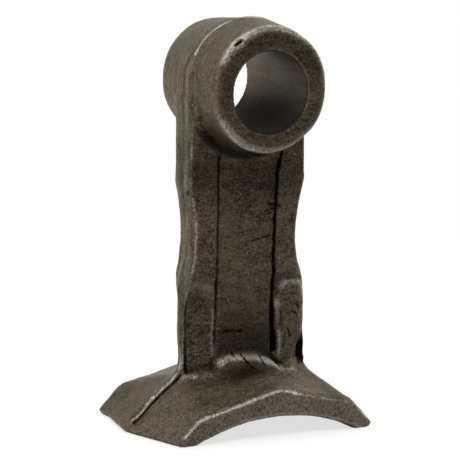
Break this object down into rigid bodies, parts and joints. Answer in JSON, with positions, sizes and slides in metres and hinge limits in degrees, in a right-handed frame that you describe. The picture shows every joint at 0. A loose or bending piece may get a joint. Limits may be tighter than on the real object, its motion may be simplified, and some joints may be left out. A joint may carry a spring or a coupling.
{
  "type": "flail hammer blade",
  "caption": "One-piece forged hammer blade with a drum eye, a waisted flat shank and a wide arched foot with a cutting edge along each side.",
  "frame": {"origin": "centre of the eye's bore, midway along it", "axes": "+Y along the eye's bore, away from the face that the picture shows; +Z from the foot up to the eye; +X to the right across the shank and foot"},
  "size_m": [0.0804, 0.055, 0.1279],
  "materials": {
    "forged_steel": "as forged, dark grey-brown mill scale"
  },
  "bodies": {
    "root": {"hammer_blade": "forged_steel"}
  },
  "joints": []
}
